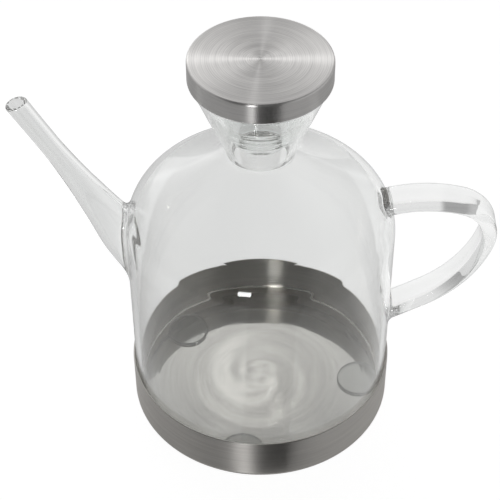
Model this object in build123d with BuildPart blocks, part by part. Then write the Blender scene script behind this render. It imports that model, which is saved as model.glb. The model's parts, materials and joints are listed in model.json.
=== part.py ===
from build123d import *
from math import cos, hypot, radians, sin, tan
import os

# Glass oil cruet with a lift-off lid
#
# A blown glass vessel with a domed shoulder, a funnel neck, a slender pouring spout and a strap handle
# stands in a shallow tray of brushed stainless steel, on three clear gel pads.  A steel cap with a
# clear stopper and a lipped seal under it closes the neck.
#
# Millimetres.  The origin is on the table, under the axis of the vessel.  The spout points to -X, the
# handle to +X, and up is +Z.

# Base tray: a cup drawn from stainless steel sheet
tray_diameter = 105.0
tray_height = 19.8
tray_sheet = 0.6
tray_corner_radius = 1.6
tray_rim_rounding = 0.25
tray_gap = 0.35  # between the tray's wall and the glass, all round

# Gel pads between the tray's floor and the glass
pad_radius = 9.0
pad_thickness = 1.2
pad_inset = 10.05  # from the outside of the glass to a pad's centre
# Angles from the handle's side, anticlockwise; the pads are stuck in by hand, not quite evenly
pad_angles = {"gel_pad_right": -3.0, "gel_pad_back": 141.0, "gel_pad_front": 260.0}

# Glass vessel
wall_thickness = 2.0
floor_thickness = 3.0
heel_radius = 8.0  # outside, floor to wall
push_up_radius = 30.0  # the middle of the floor is pushed up a little
push_up_height = 1.2
wall_height = 85.7  # from the underside to the start of the shoulder
shoulder_radius = 21.0
lower_slope_angle = 31.0  # of the dome, from the horizontal
upper_slope_angle = 37.5
slope_bend_place = 27.5  # distance from the axis to where the dome's slope changes
slope_bend_radius = 200.0
waist_radius = 12.3  # where the dome's slope and the funnel would meet in a sharp corner
waist_rounding = 1.6
funnel_half_angle = 21.3
rim_radius = 24.95
rim_band = 5.5  # height of the upright band above the funnel
rim_bend_radius = 5.0
rim_rounding = 0.8

# Pouring spout: a straight tapered tube
spout_angle = 61.2  # above the horizontal
spout_length = 74.4  # from the vessel's wall to the tip, along the spout's axis
spout_root_drop = 5.4  # from the start of the shoulder down to the spout's axis at the wall
spout_tip_radius = 4.05
spout_throat_radius = 3.95
spout_middle_radius = 5.0
spout_lower_radius = 6.7
spout_root_radius = 8.9  # the root swells where the tube was melted on
spout_foot_radius = 7.6  # under the root, where the tube closes in again
spout_foot_angle = 14.0
spout_wall = 1.5
spout_throat_place = 21.0  # distances from the tip, along the spout's axis
spout_middle_place = 40.5
spout_lower_place = 56.0
spout_tip_rounding = 0.6
spout_mouth_slant = 12.0  # the mouth is cut this much nearer to level than square to the axis

# Handle: a flat oval strap of solid glass, bent in four steps
strap_width = 13.4
strap_thickness = 5.9
handle_root_depth = 5.5  # how far the strap's line starts inside the vessel's wall
handle_root_rise = 11.9  # from the start of the shoulder up to the strap's line at its start
handle_start_angle = 20.0
upper_arm_radius = 49.4
upper_arm_turn = 36.0
knuckle_radius = 15.0
knuckle_turn = 89.0
back_radius = 50.7
back_turn = 44.5
lower_arm_length = 21.0

# Lid: a steel cap, a clear stopper and its seal
cap_sheet = 0.7
cap_skirt = 8.0
cap_edge_radius = 0.9
cap_rim_gap = 0.4  # between the skirt and the vessel's rim
flange_thickness = 2.7  # of the stopper, between the cap and the vessel's rim
flange_gap = 0.1
flange_edge = 0.4
stopper_depth = 31.5  # from the vessel's rim to the stopper's lower end
stopper_wall = 1.5
stopper_edge_radius = 1.4
stopper_gap = 3.0  # between the stopper and the funnel, where the seal sits
sleeve_thickness = 1.0
sleeve_gap = 0.05
sleeve_height = 9.0
sleeve_lift = 4.7  # from the stopper's lower end to the sleeve's lower end
lip_count = 3
lip_thickness = 0.6
lip_edge_thickness = 0.3
lip_rise = 0.9  # each lip slopes up by this much on its way to the glass
lip_gap = 0.25  # between a lip and the funnel

# Places that follow from the sizes above
glass_radius = tray_diameter / 2 - tray_sheet - tray_gap
underside_z = tray_sheet + pad_thickness
shoulder_z = underside_z + wall_height
shoulder_turn = radians(90 - lower_slope_angle)
shoulder_corner_z = shoulder_z + shoulder_radius * tan(shoulder_turn / 2)
slope_bend_z = shoulder_corner_z + (glass_radius - slope_bend_place) * tan(radians(lower_slope_angle))
waist_z = slope_bend_z + (slope_bend_place - waist_radius) * tan(radians(upper_slope_angle))
funnel_slope = tan(radians(funnel_half_angle))
funnel_top_z = waist_z + (rim_radius - waist_radius) / funnel_slope
rim_z = funnel_top_z + rim_band
stopper_z = rim_z - stopper_depth
cap_radius = rim_radius + cap_rim_gap + cap_sheet
cap_top_z = rim_z + flange_thickness + cap_sheet


def inset_corners(corners, insets):
    """Move each line of an open outline to its left and return the corners of the moved lines.

    A line through p with unit direction d moves by its inset along the left normal (-dy, dx).  A new
    corner is where two neighbouring moved lines cross.  The two end points move with their own lines.
    """
    moved = []
    for start, end, inset in zip(corners, corners[1:], insets):
        length = hypot(end[0] - start[0], end[1] - start[1])
        dx, dy = (end[0] - start[0]) / length, (end[1] - start[1]) / length
        moved.append(((start[0] - dy * inset, start[1] + dx * inset), (dx, dy), length))
    result = [moved[0][0]]
    for (p, d, _), (q, e, _) in zip(moved, moved[1:]):
        along = ((q[0] - p[0]) * e[1] - (q[1] - p[1]) * e[0]) / (d[0] * e[1] - d[1] * e[0])
        result.append((p[0] + d[0] * along, p[1] + d[1] * along))
    last_point, last_direction, last_length = moved[-1]
    result.append((last_point[0] + last_direction[0] * last_length,
                   last_point[1] + last_direction[1] * last_length))
    return result


def vessel_face(floor_inset, wall_inset):
    """The half section enclosed by the glass surface, moved inwards by the two insets."""
    corners = inset_corners(
        [
            (push_up_radius, underside_z),
            (glass_radius, underside_z),
            (glass_radius, shoulder_corner_z),
            (slope_bend_place, slope_bend_z),
            (waist_radius, waist_z),
            (rim_radius, funnel_top_z),
            (rim_radius, rim_z),
        ],
        [floor_inset] + [wall_inset] * 5,
    )
    # Outward bends get tighter towards the inside of the glass and inward bends get wider
    bends = [
        heel_radius - wall_inset,
        shoulder_radius - wall_inset,
        slope_bend_radius + wall_inset,
        waist_rounding + wall_inset,
        rim_bend_radius - wall_inset,
    ]
    middle = (0, corners[0][1] + push_up_height)
    with BuildSketch(Plane.XZ) as section:
        with BuildLine():
            TangentArc(middle, corners[0], tangent=(1, 0))
            FilletPolyline(*corners, radius=bends)
            Line(corners[-1], (0, corners[-1][1]))
            Line((0, corners[-1][1]), middle)
        make_face()
    return section.sketch


# The spout's own axis runs from the tip down into the vessel
spout_direction = Vector(cos(radians(spout_angle)), 0, -sin(radians(spout_angle)))
spout_root = Vector(-glass_radius, 0, shoulder_z - spout_root_drop)
spout_tip = spout_root - spout_direction * spout_length
spout_axis = Axis(spout_tip, spout_direction)
spout_plane = Plane(origin=spout_tip, x_dir=spout_direction, z_dir=(0, -1, 0))
# The mouth's plane leans by its slant, so one side of the tube runs on past the tip
mouth_angle = radians(spout_angle + spout_mouth_slant)
mouth_plane = Plane(origin=spout_tip, x_dir=(0, 1, 0), z_dir=(cos(mouth_angle), 0, -sin(mouth_angle)))
mouth_overrun = spout_tip_radius * tan(radians(spout_mouth_slant))
# Far enough for the whole root to reach through the glass wall
spout_reach = spout_length + (spout_root_radius + spout_wall) * tan(radians(spout_angle))


def spout_face(inset):
    """The half section of the spout, its surface moved towards the spout's axis by inset.

    The tip is an even tube.  From the throat down, a smooth curve runs through the radii at the
    middle, lower and root places, and closes in a little towards the foot.
    """
    start_radius = spout_tip_radius if inset == 0 else spout_throat_radius - inset
    with BuildSketch(spout_plane) as section:
        with BuildLine():
            Line((-mouth_overrun, 0), (-mouth_overrun, start_radius))
            Line((-mouth_overrun, start_radius), (spout_throat_place, spout_throat_radius - inset))
            curve = Spline(
                (spout_throat_place, spout_throat_radius - inset),
                (spout_middle_place, spout_middle_radius - inset),
                (spout_lower_place, spout_lower_radius - inset),
                (spout_length, spout_root_radius - inset),
                (spout_reach, spout_foot_radius - inset),
                tangents=((1, 0), (1, -tan(radians(spout_foot_angle)))),
            )
            Line(curve @ 1, (spout_reach, 0))
            Line((spout_reach, 0), (-mouth_overrun, 0))
        make_face()
    return section.sketch


# Everything inside the outer glass surface; the spout and the handle are trimmed against it
with BuildPart() as envelope:
    revolve(vessel_face(0, 0), axis=Axis.Z)

with BuildPart() as spout_bore:
    revolve(spout_face(spout_wall), axis=spout_axis)

# Glass vessel: even wall, thicker floor, a mouth at the spout's root
with BuildPart() as glass_vessel:
    add(envelope.part)
    revolve(vessel_face(floor_thickness, wall_thickness), axis=Axis.Z, mode=Mode.SUBTRACT)
    add(spout_bore.part, mode=Mode.SUBTRACT)
    rim_edges = glass_vessel.edges().filter_by(GeomType.CIRCLE).group_by(Axis.Z)[-1]
    fillet(rim_edges, radius=rim_rounding)

# Pouring spout: tapered tube with a slanted, rounded mouth, cut where it meets the vessel
with BuildPart() as spout:
    revolve(spout_face(0), axis=spout_axis)
    add(spout_bore.part, mode=Mode.SUBTRACT)
    split(bisect_by=mouth_plane, keep=Keep.TOP)
    fillet(spout.edges().sort_by(spout_axis)[:2], radius=spout_tip_rounding)
    add(envelope.part, mode=Mode.SUBTRACT)

# Handle: the strap's section carried along tangent arcs, cut where it meets the vessel
with BuildPart() as handle:
    handle_start = (glass_radius - handle_root_depth, shoulder_z + handle_root_rise)
    start_tangent = (cos(radians(handle_start_angle)), sin(radians(handle_start_angle)))
    with BuildLine(Plane.XZ) as handle_line:
        upper_arm = JernArc(handle_start, start_tangent, upper_arm_radius, -upper_arm_turn)
        knuckle = JernArc(upper_arm @ 1, upper_arm % 1, knuckle_radius, -knuckle_turn)
        back = JernArc(knuckle @ 1, knuckle % 1, back_radius, -back_turn)
        Line(back @ 1, back @ 1 + (back % 1) * lower_arm_length)
    with BuildSketch(Plane(origin=handle_line.line @ 0, x_dir=(0, 1, 0), z_dir=handle_line.line % 0)):
        SlotOverall(strap_width, strap_thickness)
    sweep()
    add(envelope.part, mode=Mode.SUBTRACT)

# Base tray: an open cup with a rounded foot
with BuildPart() as base_tray:
    Cylinder(tray_diameter / 2, tray_height, align=(Align.CENTER, Align.CENTER, Align.MIN))
    fillet(base_tray.edges().group_by(Axis.Z)[0], radius=tray_corner_radius)
    offset(amount=-tray_sheet, openings=base_tray.faces().sort_by(Axis.Z)[-1])
    fillet(base_tray.edges().group_by(Axis.Z)[-1], radius=tray_rim_rounding)

# Lid cap: a shallow inverted cup with a softly broken edge
with BuildPart() as lid_cap:
    with BuildSketch(Plane.XY.offset(cap_top_z - cap_skirt)):
        Circle(cap_radius)
    extrude(amount=cap_skirt)
    fillet(lid_cap.edges().group_by(Axis.Z)[-1], radius=cap_edge_radius)
    offset(amount=-cap_sheet, openings=lid_cap.faces().sort_by(Axis.Z)[0])


def funnel_inside(height):
    """Distance from the axis to the inner surface of the funnel at a height."""
    return waist_radius + (height - waist_z) * funnel_slope - wall_thickness / cos(radians(funnel_half_angle))


def stopper_radius(height):
    """The stopper's side runs beside the funnel, a fixed gap inside it."""
    return funnel_inside(height) - stopper_gap


# Lid insert: a flange that rests on the rim, and a hollow tapered stopper
with BuildPart() as lid_insert:
    flange_z = rim_z + flange_thickness
    flange_radius = cap_radius - cap_sheet - flange_gap
    bottom_radius = stopper_radius(stopper_z)
    with BuildSketch(Plane.XZ):
        with BuildLine():
            Polyline(
                (0, stopper_z),
                (bottom_radius, stopper_z),
                (stopper_radius(rim_z), rim_z),
                (flange_radius, rim_z),
                (flange_radius, flange_z - flange_edge),
                (flange_radius - flange_edge, flange_z),
                (stopper_radius(rim_z) - stopper_wall, flange_z),
                (stopper_radius(rim_z) - stopper_wall, rim_z),
                (bottom_radius - stopper_wall, stopper_z + stopper_wall),
                (0, stopper_z + stopper_wall),
                close=True,
            )
        make_face()
    revolve(axis=Axis.Z)
    fillet(lid_insert.edges().group_by(Axis.Z)[0], radius=stopper_edge_radius)

# Lid seal: a sleeve round the stopper with thin lips that reach for the funnel
with BuildPart() as lid_seal:
    sleeve_z = stopper_z + sleeve_lift
    sleeve_middle = sleeve_thickness / 2
    lip_spacing = sleeve_height / lip_count
    with BuildSketch(Plane.XZ):
        with BuildLine():
            Polyline(
                (stopper_radius(sleeve_z) + sleeve_gap, sleeve_z),
                (stopper_radius(sleeve_z) + sleeve_thickness, sleeve_z),
                (stopper_radius(sleeve_z + sleeve_height) + sleeve_thickness, sleeve_z + sleeve_height),
                (stopper_radius(sleeve_z + sleeve_height) + sleeve_gap, sleeve_z + sleeve_height),
                close=True,
            )
        make_face()
        for number in range(lip_count):
            lip_z = sleeve_z + lip_spacing / 2 + lip_spacing * number
            tip_z = lip_z + lip_rise
            with BuildLine():
                Polyline(
                    (stopper_radius(lip_z) + sleeve_middle, lip_z),
                    (funnel_inside(tip_z) - lip_gap, tip_z),
                    (funnel_inside(tip_z + lip_edge_thickness) - lip_gap, tip_z + lip_edge_thickness),
                    (stopper_radius(lip_z + lip_thickness) + sleeve_middle, lip_z + lip_thickness),
                    close=True,
                )
            make_face()
    revolve(axis=Axis.Z)

# Gel pads: three soft discs
pads = {}
for name, angle in pad_angles.items():
    centre = Vector(glass_radius - pad_inset, 0, tray_sheet).rotate(Axis.Z, angle)
    with BuildPart() as pad:
        with BuildSketch(Plane(origin=centre)):
            Circle(pad_radius)
        extrude(amount=pad_thickness)
    pads[name] = pad.part

pieces = {
    "glass_vessel": glass_vessel.part,
    "spout": spout.part,
    "handle": handle.part,
    "base_tray": base_tray.part,
    "lid_cap": lid_cap.part,
    "lid_insert": lid_insert.part,
    "lid_seal": lid_seal.part,
    **pads,
}

os.makedirs("parts", exist_ok=True)
for name, piece in pieces.items():
    piece.label = name
    export_step(piece, f"parts/{name}.step")

print("glass radius", round(glass_radius, 3), "shoulder", round(shoulder_z, 2), "waist", round(waist_z, 2))
print("rim", round(rim_z, 2), "stopper end", round(stopper_z, 2), "cap top", round(cap_top_z, 2))
print("spout tip", [round(value, 2) for value in spout_tip], "bore radius", spout_throat_radius - spout_wall)
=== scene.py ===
# %% [markdown]
# # A glass oil cruet with a steel lid and tray
#
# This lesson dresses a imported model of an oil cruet.  The model already has every piece at its real
# size, so here each piece only gets its finest surface and its finish: clear blown glass, brushed
# stainless steel, a clear stopper with a soft seal, and three gel pads.
#
# The real cruet is blown in one skin, so the vessel, the spout and the handle become one fused piece
# of glass.  Everything else stays a piece of its own.

# %% Load the frame
import json
from math import pi, radians

import bmesh
import bpy
import numpy as np
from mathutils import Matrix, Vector


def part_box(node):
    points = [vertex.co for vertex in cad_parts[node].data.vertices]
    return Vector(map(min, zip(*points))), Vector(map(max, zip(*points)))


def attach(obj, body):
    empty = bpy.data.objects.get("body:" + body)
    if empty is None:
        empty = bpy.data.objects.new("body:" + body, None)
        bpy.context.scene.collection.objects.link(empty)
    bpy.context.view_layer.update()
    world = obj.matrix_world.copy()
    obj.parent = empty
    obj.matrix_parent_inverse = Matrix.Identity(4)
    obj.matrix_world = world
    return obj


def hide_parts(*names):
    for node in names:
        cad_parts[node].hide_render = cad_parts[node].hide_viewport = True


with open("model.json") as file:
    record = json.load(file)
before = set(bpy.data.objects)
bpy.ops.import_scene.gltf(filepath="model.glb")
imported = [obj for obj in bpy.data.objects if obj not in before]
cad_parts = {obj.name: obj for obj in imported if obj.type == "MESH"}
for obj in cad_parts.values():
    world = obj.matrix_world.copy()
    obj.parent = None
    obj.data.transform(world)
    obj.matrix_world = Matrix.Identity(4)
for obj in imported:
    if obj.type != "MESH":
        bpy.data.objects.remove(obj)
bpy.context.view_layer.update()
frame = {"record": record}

# %% [markdown]
# ## Sizes
#
# Sizes that the frame knows are read from it: how wide the glass is, where its rim is, where the
# spout's mouth is and which way it points.  The few that a bounding box can't tell, such as the radius
# of the shoulder, are written out here in metres, as a glassblower's drawing would give them.

# %% Read the sizes of the glass from the frame
mm = 0.001

glass_low, glass_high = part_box("glass_vessel")
glass_radius = glass_high.x
underside_z = glass_low.z
rim_z = glass_high.z
wall = 2.0 * mm
floor_thickness = 3.0 * mm
heel_radius = 8.0 * mm
push_up_radius = 30.0 * mm
push_up_height = 1.2 * mm
print("glass radius %.2f mm, from %.2f to %.2f mm high" % (glass_radius / mm, underside_z / mm, rim_z / mm))

# %% The outline of the vessel, as straight lines that would meet in sharp corners
shoulder_z = 87.5 * mm
shoulder_radius = 21.0 * mm
shoulder_split = radians(24.0)
shoulder_drop = 1.2 * mm
lower_slope_angle = 31.0
upper_slope_angle = 37.5
slope_bend_place = 27.5 * mm
slope_bend_radius = 200.0 * mm
waist_radius = 12.3 * mm
waist_rounding = 1.6 * mm
rim_radius = 24.95 * mm
rim_band = 5.5 * mm
rim_bend_radius = 5.0 * mm

# Outside, the shoulder is one round bend.  It is cut in two at an angle, because the lower part of the
# inner skin's bend is centred a little lower, by the shoulder's drop.
lower_slope = np.tan(radians(lower_slope_angle))
upper_slope = np.tan(radians(upper_slope_angle))
shoulder_turn = radians(90 - lower_slope_angle)
shoulder_axis = glass_radius - shoulder_radius
low_corner_z = shoulder_z + shoulder_radius * np.tan(shoulder_split / 2)
high_corner_reach = shoulder_radius / np.cos((shoulder_turn - shoulder_split) / 2)
high_corner_angle = (shoulder_turn + shoulder_split) / 2
high_corner = (
    shoulder_axis + high_corner_reach * np.cos(high_corner_angle),
    shoulder_z + high_corner_reach * np.sin(high_corner_angle),
)
slope_bend_z = high_corner[1] + (high_corner[0] - slope_bend_place) * lower_slope
waist_z = slope_bend_z + (slope_bend_place - waist_radius) * upper_slope
outer_corners = np.array([
    (0, underside_z),
    (glass_radius, underside_z),
    (glass_radius, low_corner_z),
    high_corner,
    (slope_bend_place, slope_bend_z),
    (waist_radius, waist_z),
    (rim_radius, rim_z - rim_band),
    (rim_radius, rim_z - wall / 2),
])
outer_bends = np.array([
    heel_radius, shoulder_radius, shoulder_radius, slope_bend_radius, waist_rounding, rim_bend_radius,
])
print("waist at %.1f mm, dome starts at %.1f mm" % (waist_z / mm, shoulder_z / mm))

# %% [markdown]
# ## From an outline to a surface
#
# Nearly every piece of this cruet was made turning: the glass on a pipe, the steel in a spinning lathe.
# So one helper rounds the corners of an outline, and a second turns the outline about the axis.  A
# lathe in Blender could use the Screw modifier, but a grid of points worked out with numpy keeps every
# row and column known, and the joints with the spout and the handle need that.

# %% Round the corners of an outline
def spread(count):
    """Numbers from 0 to 1, closer together at both ends: half of one minus the cosine of half a turn.

    The close spacing keeps the shading of a long flat run from bleeding round the edge beside it.
    """
    return (1 - np.cos(np.linspace(0, pi, count))) / 2


def rounded(corners, bends, run_steps, bend_steps):
    """Points along an outline with round corners.

    At each corner the outline is cut back on both sides by the bend's radius times the tangent of half
    the turn, and an arc of that radius joins the cuts.  Between the arcs the outline is straight.
    """
    corners = np.asarray(corners, float)
    lines = np.diff(corners, axis=0)
    directions = lines / np.linalg.norm(lines, axis=1, keepdims=True)
    pieces = []
    here = corners[0]
    for corner, before, after, radius, run, bend in zip(
        corners[1:-1], directions, directions[1:], bends, run_steps, bend_steps
    ):
        turn = np.arctan2(before[0] * after[1] - before[1] * after[0], before @ after)
        start = corner - before * radius * np.tan(abs(turn) / 2)
        centre = start + np.sign(turn) * radius * np.array([-before[1], before[0]])
        angles = np.linspace(0, turn, bend + 1)[:, None]
        arm = start - centre
        across = np.array([-arm[1], arm[0]])
        arc = centre + arm * np.cos(angles) + across * np.sin(angles)
        pieces += [here + (start - here) * spread(run + 1)[:-1, None], arc[:-1]]
        here = arc[-1]
    pieces.append(here + (corners[-1] - here) * spread(run_steps[-1] + 1)[:, None])
    return np.vstack(pieces)


print("five spread numbers:", np.round(spread(5), 3))


def inset(corners, depths):
    """The same outline with each line moved to its left by its own depth.

    A moved line keeps its direction, and a new corner is where two neighbouring moved lines cross.
    """
    lines = np.diff(corners, axis=0)
    d = lines / np.linalg.norm(lines, axis=1, keepdims=True)
    starts = corners[:-1] + np.stack([-d[:, 1], d[:, 0]], 1) * np.asarray(depths)[:, None]
    gaps = starts[1:] - starts[:-1]
    before, after = d[:-1], d[1:]
    crossed = before[:, 0] * after[:, 1] - before[:, 1] * after[:, 0]
    along = (gaps[:, 0] * after[:, 1] - gaps[:, 1] * after[:, 0]) / crossed
    inner = starts[:-1] + before * along[:, None]
    last = starts[-1] + d[-1] * ((corners[-1] - starts[-1]) @ d[-1])
    return np.vstack([starts[:1], inner, last])


# %% Turn an outline about the upright axis
def turned(outline, columns, centre=(0.0, 0.0)):
    """A grid of points: each point (r, z) of the outline goes to (r cos a, r sin a, z) for every angle a.

    The first angle looks to the front, so that the seam lies between the spout and the handle.
    """
    angles = np.arange(columns) * 2 * pi / columns - pi / 2
    r, z = outline[:, :1], outline[:, 1:]
    return np.stack([centre[0] + r * np.cos(angles), centre[1] + r * np.sin(angles), z + 0 * angles], -1)


def cells(points, keep=None):
    """The points and four-cornered faces of a grid that closes round; keep says which faces stay."""
    rows, columns = points.shape[:2]
    index = np.arange(rows * columns).reshape(rows, columns)
    index = np.hstack([index, index[:, :1]])
    faces = np.stack([index[:-1, :-1], index[:-1, 1:], index[1:, 1:], index[1:, :-1]], -1)
    faces = faces.reshape(-1, 4) if keep is None else faces[keep]
    return points.reshape(-1, 3), faces


print("a turned line of 2 points in 8 columns has", len(cells(turned(np.eye(2), 8))[1]), "faces")


# %% Put grids into one closed mesh
weld_distance = 0.001 * mm
cubic_cm = 1e-6


def make_piece(name, grids, body, material, replaced):
    """One object from several grids whose edges touch; it rides on body and stands for CAD nodes."""
    sizes = [len(points) for points, _ in grids]
    starts = np.cumsum([0] + sizes[:-1])
    points = np.vstack([p for p, _ in grids])
    faces = np.vstack([f + start for (_, f), start in zip(grids, starts)])
    mesh = bpy.data.meshes.new(name)
    mesh.from_pydata(points.tolist(), [], faces.tolist())
    form = bmesh.new()
    form.from_mesh(mesh)
    bmesh.ops.remove_doubles(form, verts=form.verts, dist=weld_distance)
    bmesh.ops.recalc_face_normals(form, faces=form.faces)
    open_edges = sum(not edge.is_manifold for edge in form.edges)
    volume = form.calc_volume(signed=True)
    form.to_mesh(mesh)
    form.free()
    mesh.shade_smooth()
    mesh.materials.append(material)
    piece = bpy.data.objects.new(name, mesh)
    bpy.context.scene.collection.objects.link(piece)
    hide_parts(*replaced)
    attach(piece, body)
    print("%s: %d faces, %d open edges, %.2f cm3" % (name, len(mesh.polygons), open_edges, volume / cubic_cm))


# %% [markdown]
# ## The glass vessel
#
# The vessel has an outer and an inner skin that meet in a round lip at the rim, where the real one was
# melted smooth.  Glass only bends light rightly when it is a closed body with both skins, so the wall
# is modelled and never faked by one surface.  The wall is two millimetres thick, and the dome a little
# thicker inside.  The floor is thicker still and is pushed up in the middle, and its inner face keeps a
# faint swirl with two arms, which shows in the photograph as soft curls of light.

# %% Points of both skins
columns = 192
run_steps = [56, 46, 1, 8, 8, 16, 5]
bend_steps = [8, 8, 12, 8, 8, 5]
inner_waist_radius = 1.4 * mm
waist_bend = 4

dome_wall = wall + shoulder_drop * np.sin(shoulder_split)
inner_corners = inset(outer_corners, [floor_thickness, wall] + [dome_wall] * 3 + [wall] * 2)

# Along the outline from floor to rim, a bend to the left is tighter on the inner skin, and a bend to
# the right is wider.
turns_left = np.array([1, 1, 1, -1, -1, 1])
inner_bends = outer_bends - turns_left * np.array([wall, wall, dome_wall, dome_wall, wall, wall])
inner_bends[waist_bend] = inner_waist_radius
outer_outline = rounded(outer_corners, outer_bends, run_steps, bend_steps)
inner_outline = rounded(inner_corners, inner_bends, run_steps, bend_steps)
print("wall %.2f mm, dome %.2f mm thick" % (wall / mm, dome_wall / mm))

# %% Push-up, swirl and dish of the floor
edge_step = 0.1 * mm
edge_width = 2.0 * mm
logistic_span = 6.0
swirl_height = 0.17 * mm
swirl_spacing = 14.0 * mm
swirl_reach = 28.0 * mm
swirl_arms = 2
swirl_start = 7.0 * mm
crest_place = 7.0 * mm
dish_start = 28.0 * mm
dish_bend = 22.0 * mm
dish_slope = 0.07


def push_up(r):
    """Height of the pushed up middle: half of one plus the cosine, from the axis to its edge.

    The mould leaves a small step at the edge.  It is a logistic curve, one over one plus a power of e,
    which does nine tenths of its change over a span of six, here the width of the edge.
    """
    bell = push_up_height / 2 * (1 + np.cos(pi * np.clip(r / push_up_radius, 0, 1)))
    return bell + edge_step / (1 + np.exp((r - push_up_radius) * logistic_span / edge_width))


def swirl(r, angles):
    """Faint swirl of the inner floor: a cosine of the distance and the angle, which is a spiral.

    It grows from nothing at the middle, as one minus a bell curve, and fades out towards the heel.
    """
    fade = np.clip((swirl_reach - r) / swirl_reach, 0, 1)
    start = 1 - np.exp(-((r / swirl_start) ** 2))
    wave = np.cos(2 * pi * (r - crest_place) / swirl_spacing + swirl_arms * angles)
    return swirl_height * wave * fade * start


def dish(r, z):
    """Rise of the inner floor towards the heel: first an arc's height, then an even slope.

    The rise dies out up round the heel, so that the wall keeps its thickness.
    """
    out = np.clip(r - dish_start, 0, None)
    turn = dish_slope * dish_bend
    rise = np.where(out < turn, out**2 / (2 * dish_bend), dish_slope * (out - turn / 2))
    return rise * np.clip(1 - (z - z[0]) / (heel_radius - wall), 0, 1)


floor_rows = run_steps[0]
heel_rows = floor_rows + bend_steps[0]
outer_outline[:floor_rows, 1] += push_up(outer_outline[:floor_rows, 0])
inner_outline[:heel_rows, 1] += dish(*inner_outline[:heel_rows].T)
inner_outline[:floor_rows, 1] += push_up(inner_outline[:floor_rows, 0])
print("floor pushed up by %.2f mm in the middle" % ((outer_outline[0, 1] - underside_z) / mm))

# %% Turn both skins and the round lip of the rim
lip_steps = 9
outer_skin = turned(outer_outline, columns)
inner_skin = turned(inner_outline, columns)
floor_angles = np.arange(columns) * 2 * pi / columns
inner_skin[:floor_rows, :, 2] += swirl(inner_outline[:floor_rows, :1], floor_angles)
lip_angles = np.linspace(0, pi, lip_steps)[:, None]
lip_middle = np.array([rim_radius - wall / 2, rim_z - wall / 2])
lip = turned(lip_middle + wall / 2 * np.hstack([np.cos(lip_angles), np.sin(lip_angles)]), columns)
print("skins of", outer_skin.shape[:2], "points")

# %% [markdown]
# ## Where glass is fused to glass
#
# A spout and a handle are melted onto a vessel, and the soft glass flows into a small round fillet.
# A boolean union would leave a sharp crease there.  Instead each form is written as a distance: how far
# a point lies from its surface, negative inside.  A smooth minimum of two distances is the distance to
# the fused form, and points near the joint slide along its slope until they lie on its zero surface.

# %% Distances to the vessel's skins near the joints
def along(angle, r, z):
    """How far a point lies out in the direction of an angle above level."""
    return r * np.cos(angle) + z * np.sin(angle)


def vessel_distance(p, inside=False):
    """Distance to the vessel's wall and shoulder, for the outer or the inner skin.

    From the bottom up it is the distance from the upright wall, from the shoulder's first arc, from the
    short straight run after it, from the second arc, and from the dome's slope.  An arc's distance is
    the distance from its centre less its radius.
    """
    low_depth, high_depth, drop = (wall, dome_wall, shoulder_drop) if inside else (0.0, 0.0, 0.0)
    low_radius, high_radius = shoulder_radius - low_depth, shoulder_radius - high_depth
    r = np.hypot(p[..., 0], p[..., 1]) - shoulder_axis
    z = p[..., 2] - shoulder_z
    low_angle, high_angle = np.arctan2(z + drop, r), np.arctan2(z, r)
    return np.select(
        [low_angle < 0, low_angle < shoulder_split, high_angle < shoulder_split, high_angle < shoulder_turn],
        [
            r - low_radius,
            np.hypot(r, z + drop) - low_radius,
            along(shoulder_split, r, z) - high_radius,
            np.hypot(r, z) - high_radius,
        ],
        along(shoulder_turn, r, z) - high_radius,
    )


def fuse(a, b, width):
    """Smooth minimum: the smaller distance, less a parabola where the two differ by less than width."""
    share = np.clip(width - np.abs(a - b), 0, None) / width
    return np.minimum(a, b) - share**2 * width / 4


def settle(points, field, rounds=8, step=0.01 * mm, least_slope=0.05):
    """Slide points along the field's slope until they lie where the field is zero (Newton's method).

    The slope's square never counts as less than the least slope, so no point flies off where the field
    is nearly flat.
    """
    offsets = np.eye(3) * step
    for _ in range(rounds):
        slope = np.stack([field(points + o) - field(points - o) for o in offsets], -1) / (2 * step)
        squared = np.maximum((slope**2).sum(-1), least_slope)
        points = points - slope * (field(points) / squared)[..., None]
    return points


def crossing(place, field, low, high, rounds=40):
    """For many lines at once, how far along each the field is zero, found by halving the range."""
    for _ in range(rounds):
        middle = (low + high) / 2
        outside = field(place(middle)) > 0
        low, high = np.where(outside, middle, low), np.where(outside, high, middle)
    return (low + high) / 2


handle_side = np.array([glass_radius, 0, shoulder_z / 2])
print("a point of the wall is %.3f mm from the vessel" % (vessel_distance(handle_side) / mm))


# %% A block of the vessel's grid that opens for a joint
collar_crowding = 1.4


def block(rows, cols):
    """Row and column numbers round the edge of a block of a grid, and the direction of each.

    The walk goes along the first row, then the last column, back along the last row, and back along
    the first column.  A direction is the angle from the block's middle, with the block's width and its
    height both counted as one.
    """
    wide, tall = len(cols), len(rows)
    i = np.concatenate([rows[:1].repeat(wide), rows[1:], rows[-1:].repeat(wide - 1), rows[-2:0:-1]])
    j = np.concatenate([cols, cols[-1:].repeat(tall - 1), cols[-2::-1], cols[:1].repeat(tall - 2)])
    u = (j - cols.mean()) / (wide - 1)
    v = (i - rows.mean()) / (rows[-1] - rows[0])
    return i, j, np.arctan2(v, u)


def opening(skin, rows, cols):
    """Which faces of a skin stay when the block's own faces are taken out."""
    keep = np.ones((skin.shape[0] - 1, skin.shape[1]), bool)
    keep[min(rows):max(rows), min(cols):max(cols)] = False
    return keep


def collar(loop, edge, field, steps=14):
    """Grid from a joint's loop out to the block's edge: straight lines, settled on the fused form.

    The share of the way along a line is a power of an even step, so the rows crowd at the loop.
    """
    share = np.linspace(0, 1, steps)[:, None, None] ** collar_crowding
    grid = settle(loop * (1 - share) + edge * share, field)
    grid[-1] = edge
    return grid


print("a block of 3 by 3 points has", len(block(np.arange(3), np.arange(3))[0]), "points round its edge")


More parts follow.
